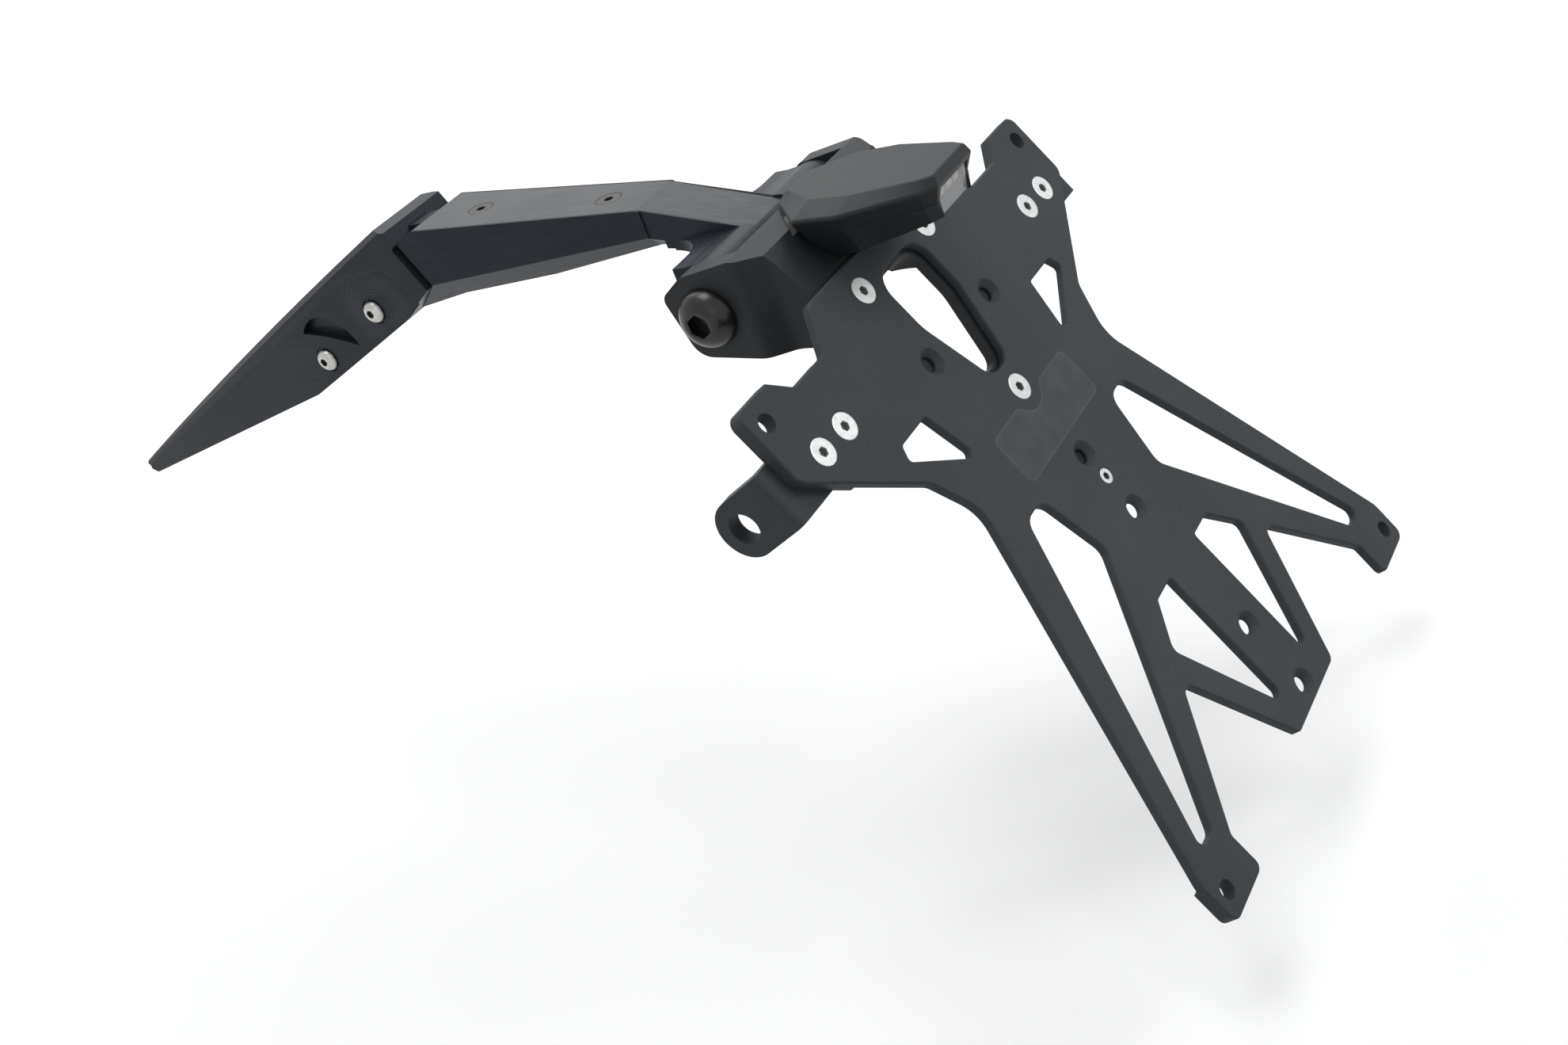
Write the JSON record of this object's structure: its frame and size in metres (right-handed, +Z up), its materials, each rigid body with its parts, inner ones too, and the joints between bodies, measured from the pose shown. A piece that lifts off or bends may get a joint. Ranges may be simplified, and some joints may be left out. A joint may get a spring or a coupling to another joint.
{
  "type": "motorcycle fender eliminator",
  "caption": "Tail tidy: a milled nose and bent arm carry a tilting head with a slotted number plate carrier, a plate lamp and indicator brackets.",
  "frame": {"origin": "mouth of the rear tail bolt's thread in the top of the nose", "axes": "+X to the right seen from behind the motorcycle, +Y forward along it, +Z up"},
  "size_m": [0.174, 0.4314, 0.1801],
  "materials": {
    "milled_black": "milled and black anodised, satin",
    "brushed_black": "brushed and black anodised",
    "coated_black": "fine matt powder coat",
    "moulded_black": "fine moulded grain",
    "stainless": "turned, satin",
    "zinc": "bright zinc plate",
    "black_steel": "satin black",
    "gloss_black_steel": "glossy black",
    "brass": "plain",
    "clear_lens": "clear polycarbonate, glossy",
    "board": "white solder mask",
    "chips": "phosphor"
  },
  "bodies": {
    "arm_side": {"mounting_nose": "milled_black", "nose_screws": "stainless", "arm": "milled_black", "arm_cover": "brushed_black", "cover_screws": "black_steel", "pivot_bolt_left": "gloss_black_steel", "pivot_bolt_right": "gloss_black_steel"},
    "plate_side": {"tilt_head": "moulded_black", "head_inserts": "brass", "lamp_cover": "moulded_black", "lamp_base": "moulded_black", "lamp_lens": "clear_lens", "lamp_board": "board", "lamp_chips": "chips", "lamp_screws": "stainless", "plate_carrier": "coated_black", "plate_screws": "zinc", "indicator_bracket_left": "coated_black", "indicator_bracket_right": "coated_black", "bracket_screws": "zinc", "set_screw": "zinc"}
  },
  "joints": [
    {"name": "plate_tilt", "type": "hinge", "parent": "arm_side", "child": "plate_side", "pos_m": [0, -0.21107, 0.00849], "axis": [1, 0, 0], "range_deg": [-15, 15]}
  ]
}
